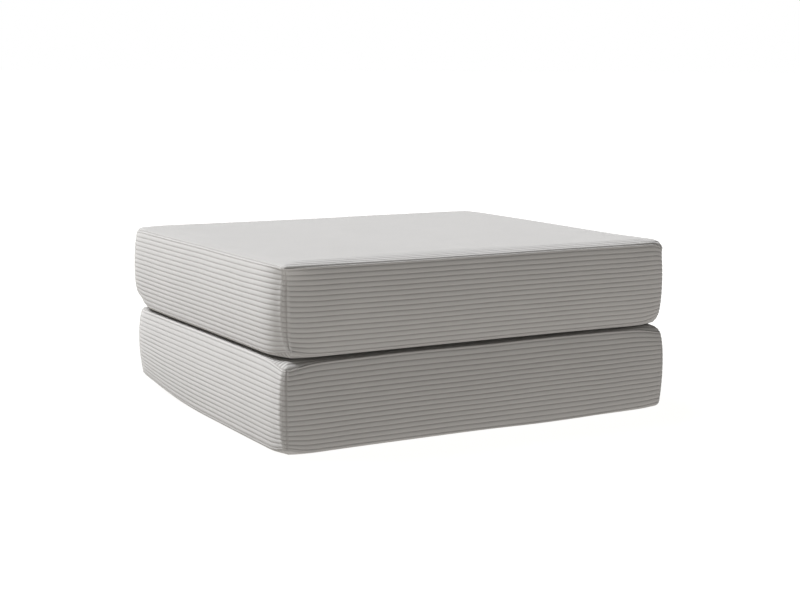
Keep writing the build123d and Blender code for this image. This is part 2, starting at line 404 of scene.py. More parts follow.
def load_draw(slab, place, inset):
    """How a filled cover draws in, with the lower slab's seams pushed level by its load."""
    moved = corner_draw(slab, place, inset)
    if slab.name == "lower":
        x, y, height = place[..., 0], place[..., 1], place[..., 2] / slab.half_seam
        fall = (slab.half_flat - slab.crown(inset)) / (slab.half_flat - slab.half_seam)
        corner = np.abs(x * y / (slab.seam_x * slab.seam_y)) ** 6
        hinge = np.clip(x / slab.seam_x, 0, 1) ** 8
        up, down = (np.clip(face * height, 0, 1) ** 3 for face in (1, -1))
        raised = TOP_PRESS * up * (1 - corner) * (1 - hinge)
        lowered = BOTTOM_PRESS * down * bell(x - BOTTOM_SWELL[0], BOTTOM_SWELL[1])
        moved[..., 2] += fall**2 * (raised - lowered)
    return moved


def uneven(place, seed):
    """Slow unevenness of a hand-filled cover, a millimetre or so."""
    cells = [place[..., axis] / UNEVEN_SIZE for axis in range(3)]
    return np.stack([value_noise(seed + axis, *cells) for axis in range(3)], axis=-1) * UNEVEN_DEPTH


def sim_grid(slab):
    """The stations of the coarse cushion: shares along its rows, rows across it, and levels."""
    shares = np.linspace(-1, 1, 2 * round(slab.seam_x / SIM_CELL) + 1)
    corner_rows = slab.corner_y + slab.radius * np.sin(np.radians([45, 90]))
    straight = np.linspace(-slab.corner_y, slab.corner_y, 2 * round(slab.corner_y / SIM_CELL) + 1)
    rows = np.concatenate([-corner_rows[::-1], straight, corner_rows])
    return shares, rows, np.linspace(-1, 1, SIM_LEVELS) * slab.half_seam


def boxing_place(slab, along, level):
    """Place on the bulged side of a slab, before it is softened."""
    x, y, nx, ny = slab.round_place(along)
    out = slab.bulge * (1 - (level / slab.half_seam) ** 2)
    return np.stack([x + nx * out, y + ny * out, level + 0 * x], axis=-1)


def panel_place(slab, share, row, side):
    """Place on a slab's large panel, before it is softened. side is 1 on top, -1 below."""
    x = share * slab.row_end(row)
    y = row + 0 * x
    return np.stack([x, y, side * slab.crown(slab.inset(x, y))], axis=-1)


def loop_of(grid):
    """The border of a grid of values, counter-clockwise from its first corner."""
    return np.concatenate([grid[0, :-1], grid[:-1, -1], grid[-1, :0:-1], grid[:0:-1, 0]])


def spread(stations, places):
    """Weights that carry values at stations to places between them, along smooth curves."""
    places = np.clip(places, stations[0], stations[-1])
    count = len(stations)
    cell = np.clip(np.searchsorted(stations, places, side="right") - 1, 0, count - 2)
    part = (places - stations[cell]) / (stations[cell + 1] - stations[cell])
    curve = (
        -0.5 * part + part**2 - 0.5 * part**3,
        1 - 2.5 * part**2 + 1.5 * part**3,
        0.5 * part + 2 * part**2 - 1.5 * part**3,
        -0.5 * part**2 + 0.5 * part**3,
    )
    weights = np.zeros((len(places), count))
    index = np.arange(len(places))
    for step, weight in zip((-1, 0, 1, 2), curve):
        np.add.at(weights, (index, np.clip(cell + step, 0, count - 1)), weight)
    return weights


class SoftForm:
    """Where the cloth of a slab has moved to, sampled from its simulated cushion."""

    GRID = "ri,sj,ijk->rsk"  # for a grid of stations, given as two lists
    SINGLE = "ni,nj,ijk->nk"  # for single places

    def __init__(self, slab):
        self.slab = slab
        self.shares, self.rows, self.levels = sim_grid(slab)
        share, row = np.meshgrid(self.shares, self.rows)
        plain = {side: panel_place(slab, share, row, side) for side in (1, -1)}
        self.loop = slab.along_at(loop_of(plain[1][..., 0]), loop_of(plain[1][..., 1]))
        ring = boxing_place(slab, *np.meshgrid(self.loop, self.levels))
        start, faces, parts = self.closed_mesh(plain, ring)
        soft = start + uneven(start, CUSHION_SEED + CUSHION_SEED_STEP * slab.number)
        soft = self.inflate(soft, faces, parts["ring"])
        top = slab.half_flat + (UPPER_RISE if slab.name == "upper" else 0)
        soft[:, 2] = np.clip(soft[:, 2], -slab.half_flat, top)
        self.moved = {part: (soft - start)[index] for part, index in parts.items()}

    def closed_mesh(self, plain, ring):
        """Vertices and quads of the closed coarse cushion, with the index of each station."""
        top = np.arange(plain[1][..., 0].size).reshape(plain[1].shape[:2])
        bottom = top + top.size
        ring_index = np.zeros(ring.shape[:2], int)
        ring_index[0] = loop_of(bottom)
        ring_index[-1] = loop_of(top)
        between = ring_index[1:-1]
        ring_index[1:-1] = 2 * top.size + np.arange(between.size).reshape(between.shape)
        parts = plain[1], plain[-1], ring[1:-1]
        vertices = np.concatenate([part.reshape(-1, 3) for part in parts])
        faces = []
        for grid, turned in ((top, False), (bottom, True)):
            quads = np.stack([grid[:-1, :-1], grid[:-1, 1:], grid[1:, 1:], grid[1:, :-1]], -1)
            quads = quads.reshape(-1, 4)
            faces.append(quads[:, ::-1] if turned else quads)
        after = np.roll(ring_index, -1, axis=1)
        quads = np.stack([ring_index[:-1], after[:-1], after[1:], ring_index[1:]], -1)
        faces.append(quads.reshape(-1, 4))
        return vertices, np.concatenate(faces), {1: top, -1: bottom, "ring": ring_index}

    def inflate(self, start, faces, ring):
        """Blows the cushion up against its seams and gives its vertices back, with a cap."""
        mesh = bpy.data.meshes.new("cushion_filling")
        mesh.from_pydata(start.tolist(), [], faces.tolist())
        cushion = bpy.data.objects.new("cushion_filling", mesh)
        scene = bpy.context.scene
        scene.collection.objects.link(cushion)
        seams = cushion.vertex_groups.new(name="seams")
        seams.add(np.unique(ring[[0, -1]]).tolist(), 1.0, "REPLACE")
        cloth = cushion.modifiers.new("Cloth", "CLOTH")
        for name, value in SIM_SETTINGS.items():
            setattr(cloth.settings, name, value)
        cloth.settings.effector_weights.gravity = 0
        cloth.point_cache.frame_start = 1
        cloth.point_cache.frame_end = SIM_FRAMES
        for step in range(1, SIM_FRAMES + 1):
            scene.frame_set(step)
        settled = cushion.evaluated_get(bpy.context.evaluated_depsgraph_get())
        moved = places_of(settled.data) - start
        scene.frame_set(1)
        bpy.data.objects.remove(cushion)
        bpy.data.meshes.remove(mesh)
        length = np.linalg.norm(moved, axis=1, keepdims=True)
        return start + moved * SIM_CAP / (SIM_CAP + length)

    def panel(self, share, row, side, form=GRID):
        """How a large panel has moved."""
        across, along = spread(self.rows, row), spread(self.shares, share)
        return np.einsum(form, across, along, self.moved[side])

    def boxing(self, along, level, form=GRID):
        """How the boxing has moved."""
        first, length = self.loop[0], self.slab.round_length
        around = spread(np.append(self.loop, first + length), np.mod(along - first, length) + first)
        around[:, 0] += around[:, -1]
        return np.einsum(form, spread(self.levels, level), around[:, :-1], self.moved["ring"])


# Making pieces of primitives


def primitive(name, add, **settings):
    bpy.ops.object.select_all(action="DESELECT")
    add(**settings)
    piece = bpy.context.object
    piece.name = name
    piece.data.name = name
    return piece


def grid_piece(name, rows, columns):
    add = bpy.ops.mesh.primitive_grid_add
    return primitive(name, add, x_subdivisions=columns - 1, y_subdivisions=rows - 1, size=1)


def shape_all(scale, shift=(0, 0, 0), cuts=0):
    """Resizes, subdivides and moves the whole of a primitive."""
    bpy.ops.object.mode_set(mode="EDIT")
    bpy.ops.mesh.select_all(action="SELECT")
    bpy.ops.transform.resize(value=scale)
    if cuts:
        bpy.ops.mesh.subdivide(number_cuts=cuts)
    bpy.ops.transform.translate(value=shift)
    bpy.ops.object.mode_set(mode="OBJECT")


def add_modifier(piece, kind, **settings):
    """Applies a modifier to a piece."""
    modifier = piece.modifiers.new(kind.title(), kind)
    for name, value in settings.items():
        setattr(modifier, name, value)
    bpy.ops.object.modifier_apply(modifier=modifier.name)


def repeat(piece, count, pitch):
    """A shaped piece again and again along X."""
    add_modifier(
        piece,
        "ARRAY",
        count=count,
        use_relative_offset=False,
        use_constant_offset=True,
        constant_offset_displace=(pitch, 0, 0),
    )


def places_of(mesh):
    places = np.zeros(len(mesh.vertices) * 3)
    mesh.vertices.foreach_get("co", places)
    return places.reshape(-1, 3)


def set_places(piece, places):
    """Puts each vertex of a piece in its place and shades the piece smooth."""
    piece.data.vertices.foreach_set("co", places.reshape(-1).astype(np.float32))
    piece.data.update()
    bpy.ops.object.shade_smooth()


# Corduroy cloth on a grid of stations


def wale_stations(first, last):
    """Places across the wales from one to another, counted in wales."""
    return np.array([wale + part for wale in range(first, last) for part in WALE_STATIONS] + [last])


def wale_profile(phase):
    """Height of the nap across a wale, from 0 in the groove to 1 on the ridge."""
    return 1 - np.abs(2 * np.mod(phase, 1.0) - 1) ** WALE_FULLNESS


def wander(seed, along, phase, inset, size, depth):
    """How far the wales wander from their lines, away from the seams."""
    shift = value_noise(seed, along / size, phase * WANDER_CELLS)
    return shift * np.clip(inset / WANDER_FADE, 0, 1) * depth


def surface_normals(place, outward_hint):
    """Normals of a grid of places, turned to the outside."""
    down = np.gradient(place, axis=0)
    across = np.gradient(place, axis=1)
    normal = unit(np.cross(across, down))
    turn = np.sign(np.sum(normal * outward_hint, axis=-1, keepdims=True))
    return normal * np.where(turn == 0, 1, turn)


def corduroy(
    place, hint, lean, phase, along, seed, to_seam, to_stitch=FAR, turn_in=SEAM_DEPTH,
    relief=WALE_HEIGHT,
):
    """Gives a smooth grid its wales and its turned-in seams. Returns places and the colour mask:
    nap height, with painted shade at seams and stitch lines.
    """
    normal = surface_normals(place, hint)
    height = 1.0
    for step, size, cells, share in PILE_PATCHES:
        height = height + share * value_noise(seed + step, along / size, np.floor(phase) * cells)
    pile = wale_profile(phase)
    at_seam = bell(to_seam, SEAM_FLAT)
    stitched = bell(to_stitch, STITCH_WIDTH)
    depth = relief * height * (1 - pile) * (1 - at_seam) + STITCH_DEPTH * stitched * pile
    turned = turn_in * bell(to_seam, SEAM_WIDTH) + relief * SEAM_GROOVE * at_seam
    place = place - normal * depth[..., None] - unit(lean) * turned[..., None]
    # Painted shade: the colour mask darkens at seams and along stitch lines, where shade would fall
    seam_shade = bell(to_seam, SEAM_SHADE_REACH) * np.minimum(turn_in / SEAM_DEPTH, 1)
    return place, pile * (1 - SEAM_SHADE_SHARE * seam_shade) * (1 - STITCH_SHADE_SHARE * stitched)


def cloth_piece(name, place, pile, along, across, middle_z, outside_up=True):
    """A grid laid out on the given places, with its thickness and its threads' map."""
    piece = grid_piece(name, *pile.shape)
    mesh = piece.data
    if not outside_up:
        place, pile, along, across = (values[:, ::-1] for values in (place, pile, along, across))
    set_places(piece, place + np.array([0, 0, middle_z]))
    # The colour mask: nap height, lowered at seams and stitch lines as painted shade; the material
    # paints low values with the darker groove colour
    height = mesh.attributes.new("pile", "FLOAT", "POINT")
    height.data.foreach_set("value", pile.reshape(-1).astype(np.float32))
    corner = np.zeros(len(mesh.loops), np.int64)
    mesh.loops.foreach_get("vertex_index", corner)
    threads = np.stack([along.reshape(-1), across.reshape(-1)], -1)[corner]
    mesh.uv_layers[0].name = "threads"
    mesh.uv_layers[0].data.foreach_set("uv", threads.reshape(-1).astype(np.float32))
    add_modifier(piece, "SOLIDIFY", thickness=CLOTH_THICKNESS, offset=-1)
    return piece


def graded(start, end, step):
    """Stations from start to end, closer together beside the seams there."""
    near = np.array(SEAM_STATIONS) * MM
    first, last = start + near[-1], end - near[-1]
    middle = np.linspace(first, last, max(2, round((last - first) / step)) + 1)
    return np.concatenate([start + near[:-1], middle, end - near[-2::-1]])


def thinned(places, least):
    """Sorted places without those that follow the last one too closely. Both ends stay."""
    places = np.unique(np.round(places, 6))
    kept = [places[0]]
    for place in places[1:-1]:
        if place - kept[-1] > least and places[-1] - place > least:
            kept.append(place)
    return np.array(kept + [places[-1]])


def large_panel(slab, soft, side, name):
    """Top or bottom panel of a slab, its wales along the long side."""
    share = graded(-slab.seam_x, slab.seam_x, PANEL_STEP) / slab.seam_x
    phases = wale_stations(0, PANEL_WALES)
    row = phases * (2 * slab.seam_y / PANEL_WALES) - slab.seam_y
    row[0], row[-1] = -slab.seam_y, slab.seam_y
    share_grid, y = np.meshgrid(share, row)
    phase = phases[:, None] + 0 * share_grid
    place = panel_place(slab, share_grid, y, side)
    x = place[..., 0].copy()
    inset = slab.inset(x, y)
    place = place + soft.panel(share, row, side) + load_draw(slab, place, inset)
    seed = PANEL_SEED + SEED_STEP * slab.number + (side > 0)
    place[..., 1] += wander(seed, x, phase, inset, *PANEL_WANDER)
    lean = np.stack([*slab.outward(x, y), side + 0 * x], axis=-1)
    hint = np.broadcast_to([0, 0, float(side)], place.shape)
    place, pile = corduroy(place, hint, lean, phase, x, seed, inset)
    return cloth_piece(name, place, pile, x, y, slab.middle_z, side > 0)


def boxing_rows(slab, low, high):
    """Levels of a boxing strip between two heights, with their places in wales."""
    width = 2 * slab.half_seam / BOXING_WALES
    whole = math.floor(BOXING_WALES) - 1
    first_groove = -slab.half_seam + (BOXING_WALES - whole) / 2 * width
    levels = first_groove + wale_stations(-1, whole + 2) * width
    levels = levels[(levels > low) & (levels < high)]
    near = np.array(SEAM_STATIONS[:LEVEL_STATIONS]) * MM
    levels = thinned(np.concatenate([low + near, levels, high - near]), LEAST_RISE)
    return levels, (levels - first_groove) / width


def boxing_columns(slab, start, end, zip_edge):
    """Stations along a boxing strip: closer at its upright seams and round its corners."""
    steps = np.linspace(0, BEND_REACH, ZIP_BEND_STATIONS) if zip_edge else np.array([BEND_REACH])
    extra = []
    for run_start, length, *_ in slab.runs:
        bend, bend_end = run_start + length, run_start + length + slab.arc_length
        extra += [np.linspace(bend, bend_end, BEND_STATIONS), bend - steps, bend_end + steps]
    extra = np.concatenate(extra)
    extra = extra[(extra > start) & (extra < end)]
    return thinned(np.concatenate([graded(start, end, BOXING_STEP), extra]), LEAST_STEP)


def beside_zip(slab, along, level):
    """Levels beside the zip. Past its stops the two folded edges meet, and the slit is closed."""
    past = np.maximum(slab.back[0] - along, along - slab.back[1])
    share = np.clip((past + SLIT_RUN - SLIT_LEAD) / SLIT_RUN, 0, 1)
    share = share**2 * (3 - 2 * share)
    near = np.clip(1 - (np.abs(level) - ZIP_HALF) / SLIT_REACH, 0, 1) ** 2
    return level - np.sign(level) * ZIP_HALF * share * near


def soft_boxing(slab, soft, along, level, zip_edge=0):
    """The smooth side of a filled slab at stations along it and up it."""
    along_grid, level_grid = np.meshgrid(along, level)
    if zip_edge:
        level_grid = beside_zip(slab, along_grid, level_grid)
    place = boxing_place(slab, along_grid, level_grid)
    return place + soft.boxing(along, level) + load_draw(slab, place, 0 * along_grid)


def boxing_strip(slab, soft, span, low, high, zip_edge, name):
    """A strip of a slab's side, with level wales. The zip is below (-1) or above (1) it, or 0."""
    start, end = slab.spans[span]
    along = boxing_columns(slab, start, end, zip_edge)
    levels, phases = boxing_rows(slab, low, high)
    along_grid, level = np.meshgrid(along, levels)
    phase = phases[:, None] + 0 * along_grid
    seed = BOXING_SEED + SEED_STEP * slab.number
    place = soft_boxing(slab, soft, along, levels, zip_edge)
    edge = slab.half_seam - np.abs(level)
    place[..., 2] += wander(seed, along_grid, phase, edge, *BOXING_WANDER)
    _, _, nx, ny = slab.round_place(along_grid)
    hint = np.stack([nx, ny, 0 * nx], axis=-1)
    to_low, to_high = level - low, high - level
    to_ends = np.minimum(along_grid - start, end - along_grid)
    to_level_seam = np.minimum(to_low, to_high)
    to_seam = np.minimum(to_level_seam, to_ends)
    tilt = np.where(to_low < to_high, -1.0, 1.0) * (to_level_seam < to_ends)
    lean = np.stack([nx, ny, tilt], axis=-1)
    to_stitch = np.abs(to_ends - TOPSTITCH) if span in ("left", "right") else FAR
    turn_in = np.where(to_ends <= to_seam + TINY, UPRIGHT_DEPTH, SEAM_DEPTH)
    if zip_edge:
        to_zip = to_low if zip_edge < 0 else to_high
        turn_in = np.where(to_zip <= to_seam + TINY, FOLD_DEPTH, turn_in)
        to_stitch = np.abs(to_zip - ZIP_TOPSTITCH)
    place, pile = corduroy(
        place, hint, lean, phase, along_grid, seed, to_seam, to_stitch, turn_in, TAUT_WALE_HEIGHT
    )
    return cloth_piece(name, place, pile, along_grid, level, slab.middle_z)


def stitch_row(name, path, outward):
    """A row of thread stitches: one is shaped and repeated, and the row is laid along a path."""
    steps = np.linalg.norm(np.diff(path, axis=0), axis=1)
    reach = np.concatenate([[0], np.cumsum(steps)])
    add = bpy.ops.mesh.primitive_uv_sphere_add
    piece = primitive(name, add, segments=6, ring_count=4, radius=1 * MM)
    shape_all(STITCH_SHAPE, (STITCH_PITCH / 2, 0, 0))
    repeat(piece, int(reach[-1] / STITCH_PITCH), STITCH_PITCH)
    shaped = places_of(piece.data)

    def at(values):
        return np.stack([np.interp(shaped[:, 0], reach, values[:, k]) for k in range(3)], -1)

    forward = unit(at(np.gradient(path, axis=0)))
    up = unit(at(outward))
    side = np.cross(up, forward)
    set_places(piece, at(path) + side * shaped[:, 1:2] + up * shaped[:, 2:3])
    return piece


def cover_stitches(slab, soft):
    """All visible topstitching of one cover, joined into one piece."""
    rows = []
    level = np.linspace(-1, 1, UPRIGHT_ROW_PLACES) * (slab.half_seam - UPRIGHT_END)
    for span in ("right", "left"):
        start, end = slab.spans[span]
        for column in (start + TOPSTITCH, end - TOPSTITCH):
            place = soft_boxing(slab, soft, np.array([column]), level)[:, 0]
            _, _, nx, ny = slab.round_place(np.full(len(level), column))
            rows.append((f"upright_{len(rows)}", place, np.stack([nx, ny, 0 * nx], -1)))
    start, end = slab.spans["back"]
    along = np.linspace(start + ZIP_ROW_END, end - ZIP_ROW_END, ZIP_ROW_PLACES)
    for number, side in enumerate((1, -1)):
        height = side * (ZIP_HALF + ZIP_TOPSTITCH)
        place = soft_boxing(slab, soft, along, np.array([height]), -side)[0]
        rows.append((f"zip_{number}", place, np.broadcast_to([0.0, 1.0, 0.0], place.shape)))
    made = []
    for tail, place, outward in rows:
        path = place - outward * STITCH_SUNK + np.array([0, 0, slab.middle_z])
        made.append(stitch_row(f"{slab.name}_stitches_{tail}", path, outward))
    bpy.ops.object.select_all(action="DESELECT")
    for piece in made:
        piece.select_set(True)
    bpy.context.view_layer.objects.active = made[0]
    bpy.ops.object.join()
    made[0].name = f"{slab.name}_cover_stitches"
    return made[0]


# Liner, wadding and foam


def half_form(slab, soft, face, inset):
    """A grid over half of the filled slab, drawn in by inset. Its outer rings are the sides."""
    columns, rows = LAYER_GRID
    u, v = np.meshgrid(np.linspace(-1, 1, columns), np.linspace(-1, 1, rows))
    out = np.maximum(np.maximum(np.abs(u), np.abs(v)), TINY)
    su, sv = u / out, v / out
    arc = slab.arc_length
    lines = []
    for (start, length, *_), share in zip(slab.runs, (1 + su, 1 + sv, 1 - su, 1 - sv)):
        lines.append(start - arc / 2 + share / 2 * (length + arc))
    along = np.select([sv <= -1 + TINY, su >= 1 - TINY, sv >= 1 - TINY], lines[:3], lines[3])
    level = face * slab.half_seam * np.clip((1 - out) / (1 - LAYER_RIM), 0, 1)
    rim_x, rim_y, nx, ny = slab.round_place(along)
    scale = np.minimum(out / LAYER_RIM, 1)
    x, y = rim_x * scale, rim_y * scale
    on_panel = out < LAYER_RIM
    is_panel = on_panel[..., None]
    share = x / slab.row_end(y)
    panel_moved = soft.panel(share.ravel(), y.ravel(), face, soft.SINGLE)
    side_moved = soft.boxing(along.ravel(), level.ravel(), soft.SINGLE)
    plan_inset = slab.inset(x, y)
    panel = np.stack([x, y, face * slab.crown(plan_inset)], -1)
    plain = np.where(is_panel, panel, boxing_place(slab, along, level))
    moved = np.where(is_panel, panel_moved.reshape(plain.shape), side_moved.reshape(plain.shape))
    place = plain + moved + load_draw(slab, plain, np.where(on_panel, plan_inset, 0))
    upright = np.stack([nx, ny, 0 * x], -1)
    hint = np.where(is_panel, np.array([0, 0, face]), upright)
    normal = surface_normals(place, hint)
    on_fold = ~on_panel & (np.abs(np.abs(u) - np.abs(v)) < LAYER_FOLD)
    normal = np.where(on_fold[..., None], unit(hint), normal)
    place = place - normal * inset
    along_zip = np.abs(place[..., 0]) < slab.corner_x + ZIP_DENT_PAST
    dent = np.clip((ZIP_DENT_HEIGHT - np.abs(place[..., 2])) / ZIP_DENT_RISE, 0, 1)
    place[..., 1] -= dent * ZIP_DENT * along_zip * (place[..., 1] > ZIP_DENT_BACK)
    return place, normal


def inner_layer(slab, soft, face, name, inset, flat_thickness, side_thickness):
    """One half of a layer inside the cover: a tray with a flat and four sides."""
    place, normal = half_form(slab, soft, face, inset)
    level = np.abs(normal[..., 2:3])
    inner = place - normal * (side_thickness + (flat_thickness - side_thickness) * level)
    piece = grid_piece(name, *place.shape[:2])
    if face < 0:
        place, inner = place[:, ::-1], inner[:, ::-1]
    both = np.stack([place, inner]) + np.array([0, 0, slab.middle_z])
    set_places(piece, both[0])
    add_modifier(piece, "SOLIDIFY", thickness=flat_thickness, offset=-1)
    set_places(piece, both)
    return piece


def foam_piece(slab):
    """The foam block: a subdivided box with eased edges, pushed in where the cover draws in."""
    low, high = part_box(f"{slab.name}_foam_block")
    piece = primitive(f"{slab.name}_foam", bpy.ops.mesh.primitive_cube_add, size=1)
    shape_all(high - low, cuts=FOAM_CUTS)
    place = places_of(piece.data)
    half = np.array(high - low) / 2
    for axes, radius in FOAM_EASES:
        core = np.clip(place[:, axes], -(half[axes] - radius), half[axes] - radius)
        over = place[:, axes] - core
        length = np.linalg.norm(over, axis=1, keepdims=True)
        place[:, axes] = core + over * np.minimum(1, radius / np.maximum(length, TINY))
    drawn = corner_draw(slab, place, 0 * place[:, 0]) * FOAM_DRAW
    set_places(piece, place + drawn + np.array([0, 0, slab.middle_z]))
    return piece


def zip_coil(slab, side, node):
    """A nylon coil along its tape: one turn is shaped and repeated."""
    low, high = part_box(node)
    start = low.x + COIL_STARTS[side]
    outer = high.z if side > 0 else low.z
    inner = slab.middle_z + side * ZIP_ROOM
    coil = primitive(
        node.replace("coil", "teeth"),
        bpy.ops.mesh.primitive_torus_add,
        rotation=(0, math.pi / 2, 0),
        major_segments=10,
        minor_segments=5,
        major_radius=COIL_RADIUS,
        minor_radius=COIL_WIRE,
    )
    bpy.ops.object.transform_apply(location=False, rotation=True, scale=False)
    across = 2 * (COIL_RADIUS + COIL_WIRE)
    scale = (1, (high.y - low.y) / across, abs(outer - inner) / across)
    shape_all(scale, (start, (low.y + high.y) / 2, (outer + inner) / 2))
    repeat(coil, int((high.x - COIL_END - start) / COIL_PITCH), COIL_PITCH)
    bpy.ops.object.shade_smooth()
    coil.location = (0, 0, 0)
    return coil


# Shader expressions


class Wire:
    """A socket that takes part in Python expressions."""

    def __init__(self, nodes, socket):
        self.nodes = nodes
        self.socket = socket

    def __add__(self, other):
        return self.nodes.maths("ADD", self, other)

    def __mul__(self, other):
        return self.nodes.maths("MULTIPLY", self, other)

    def __pow__(self, other):
        return self.nodes.maths("POWER", self, other)

    __radd__ = __add__
    __rmul__ = __mul__


class Nodes:
    """A node tree under construction."""

    def __init__(self, tree):
        self.tree = tree
        tree.nodes.clear()

    def node(self, kind, settings=None, **sockets):
        """Any shader node: its settings first, then the values or links of its sockets."""
        made = self.tree.nodes.new("ShaderNode" + kind)
        for name, value in (settings or {}).items():
            if name == "stops":
                ramp = made.color_ramp
                while len(ramp.elements) < len(value):
                    ramp.elements.new(1.0)
                for element, (place, shade) in zip(ramp.elements, value):
                    element.position = place
                    element.color = shade
            else:
                setattr(made, name, value)
        self.feed(made, sockets)
        return made

    def feed(self, node, sockets):
        """Values or links for a node's sockets, by name, or by number as in n0."""
        for name, value in sockets.items():
            key = int(name[1:]) if name[1:].isdigit() else name.replace("_", " ")
            if isinstance(value, Wire):
                self.tree.links.new(value.socket, node.inputs[key])
            else:
                node.inputs[key].default_value = value

    def wire(self, kind, output=0, settings=None, **sockets):
        """An output of a new node."""
        return Wire(self, self.node(kind, settings, **sockets).outputs[output])

    def maths(self, operation, a, b=0.0):
        return self.wire("Math", 0, {"operation": operation}, n0=a, n1=b)

    def stretch(self, vector, scale):
        return self.wire("Mapping", "Vector", Vector=vector, Scale=scale)

    def noise(self, vector, scale, detail=2.0, roughness=0.5):
        sockets = {"Vector": vector, "Scale": scale, "Detail": detail, "Roughness": roughness}
        return self.wire("TexNoise", "Fac", **sockets)

    def mix(self, factor, a, b, blend="MIX"):
        settings = {"data_type": "RGBA", "blend_type": blend}
        return self.wire("Mix", 2, settings, n0=factor, n6=a, n7=b)


class Finish(Nodes):
    """A material under construction: its tree, its Principled shader and its object coordinates."""

    def __init__(self, name):
        self.material = bpy.data.materials.new(name)
        self.material.use_nodes = True
        super().__init__(self.material.node_tree)
        self.shader = self.node("BsdfPrincipled")
        self.node("OutputMaterial", Surface=Wire(self, self.shader.outputs["BSDF"]))
        self.place = self.wire("TexCoord", "Object")

    def set(self, **sockets):
        self.feed(self.shader, sockets)

    def bump(self, height, strength, distance):
        made = self.wire("Bump", "Normal", Strength=strength, Distance=distance, Height=height)
        self.set(Normal=made)


def colour(red, green, blue):
    """A linear colour from screen values of 0 to 255."""
    values = []
    for value in (red, green, blue):
        share = value / 255
        values.append(share / 12.92 if share <= 0.04045 else ((share + 0.055) / 1.055) ** 2.4)
    return (*values, 1.0)


# Materials


def corduroy_finish():
    """Cut nap on a woven base: light ridges, darker grooves that are partly the base's own colour
    and partly painted groove shade, painted shade at seams and stitch lines, and a soft sheen.
    """
    finish = Finish("light_corduroy")
    threads = finish.wire("UVMap", "UV", {"uv_map": "threads"})
    pile = finish.wire("Attribute", "Fac", {"attribute_name": "pile"})
    tufts = finish.noise(finish.stretch(threads, (900.0, 2600.0, 1.0)), 1.0, 3.0, 0.6)
    picks = finish.noise(finish.stretch(threads, (1300.0, 160.0, 1.0)), 1.0, 1.0)
    patches = finish.noise(finish.place, 22.0, 3.0, 0.55)
    slow = finish.noise(finish.place, 5.0)
    brushed = finish.noise(finish.stretch(threads, (9.0, 92.0, 1.0)), 1.0)
    # The groove colour is partly the woven base's own colour and partly painted groove shade; the
    # mask also carries painted shade at seams and stitch lines
    ground_and_groove_shade = finish.mix(tufts, colour(138, 134, 130), colour(156, 152, 148))
    nap = finish.mix(tufts, colour(160, 157, 153), colour(178, 175, 171))
    tone = 0.92 + 0.06 * patches + 0.05 * slow + 0.07 * brushed
    grey = finish.wire("CombineColor", n0=tone, n1=tone, n2=tone)
    finish.set(
        Base_Color=finish.mix(1.0, finish.mix(pile**0.7, ground_and_groove_shade, nap), grey, "MULTIPLY"),
        Roughness=0.82 + 0.12 * patches,
        Sheen_Weight=0.18,
        Sheen_Roughness=0.5,
        Specular_IOR_Level=0.2,
    )
    finish.bump(tufts * 0.6 + picks * 0.4, 0.35, 0.00035)
    return finish.material


def woven_finish(name, thread, gap, pitch, strength):
    """Plain weave: threads over and under each other."""
    finish = Finish(name)
    turns = finish.stretch(finish.place, (2 * math.pi / pitch,) * 3)
    split = finish.node("SeparateXYZ", Vector=turns)
    waves = {axis: finish.maths("SINE", Wire(finish, split.outputs[axis])) for axis in "XYZ"}
    weave = waves["X"] * waves["Z"] * 0.5 + waves["X"] * waves["Y"] * 0.5
    fuzz = finish.noise(finish.place, 2200.0, 3.0, 0.6)
    slow = finish.noise(finish.place, 14.0)
    finish.set(
        Base_Color=finish.mix(0.1 + weave * 0.25 + fuzz * 0.5 + slow * 0.3, gap, thread),
        Roughness=0.8 + 0.12 * fuzz,
        Sheen_Weight=0.15,
    )
    finish.bump(weave + fuzz * 0.6, strength, pitch * 0.4)
    return finish.material


def wadding_finish():
    """Carded white fibre."""
    finish = Finish("fibre_wadding")
    strands = finish.noise(finish.stretch(finish.place, (900.0, 300.0, 300.0)), 1.0, 4.0, 0.7)
    clumps = finish.noise(finish.place, 40.0, 3.0, 0.6)
    share = strands * 0.6 + clumps * 0.4
    finish.set(
        Base_Color=finish.mix(share, colour(206, 206, 204), colour(242, 242, 240)),
        Roughness=0.85 + 0.12 * strands,
        Sheen_Weight=0.3,
    )
    finish.bump(strands + clumps, 0.8, 0.0012)
    return finish.material


def foam_finish():
    """Cream open-cell foam."""
    finish = Finish("open_cell_foam")
    cells = finish.wire("TexVoronoi", "Distance", Vector=finish.place, Scale=700.0)
    share = cells * 1.2 + finish.noise(finish.place, 9.0) * 0.2
    finish.set(
        Base_Color=finish.mix(share, colour(202, 187, 148), colour(236, 226, 194)),
        Roughness=0.85 + 0.1 * cells,
    )
    finish.bump(cells, 0.6, 0.0006)
    return finish.material


def enamel_finish():
    """Enamelled zip metal, worn a little bright."""
    finish = Finish("zip_enamel")
    grain = finish.noise(finish.place, 900.0, 3.0, 0.6)
    worn = finish.noise(finish.place, 160.0, 3.0, 0.6)
    finish.set(
        Base_Color=finish.mix(worn, colour(128, 125, 120), colour(160, 157, 152)),
        Metallic=0.65,
        Roughness=0.32 + 0.2 * grain,
    )
    finish.bump(grain, 0.15, 0.00005)
    return finish.material


def nylon_finish():
    """Nylon of the zip coils."""
    finish = Finish("zip_nylon")
    grain = finish.noise(finish.place, 1400.0)
    finish.set(
        Base_Color=finish.mix(grain, colour(150, 147, 142), colour(172, 169, 164)),
        Roughness=0.38 + 0.15 * grain,
    )
    finish.bump(grain, 0.1, 0.00005)
    return finish.material


def thread_finish():
    """Twisted sewing thread."""
    finish = Finish("sewing_thread")
    twist = finish.noise(finish.stretch(finish.place, (2500.0, 6000.0, 6000.0)), 1.0)
    finish.set(
        Base_Color=finish.mix(twist, colour(168, 164, 159), colour(200, 196, 191)),
        Roughness=0.55 + 0.2 * twist,
        Sheen_Weight=0.1,
    )
    finish.bump(twist, 0.3, 0.0001)
    return finish.material


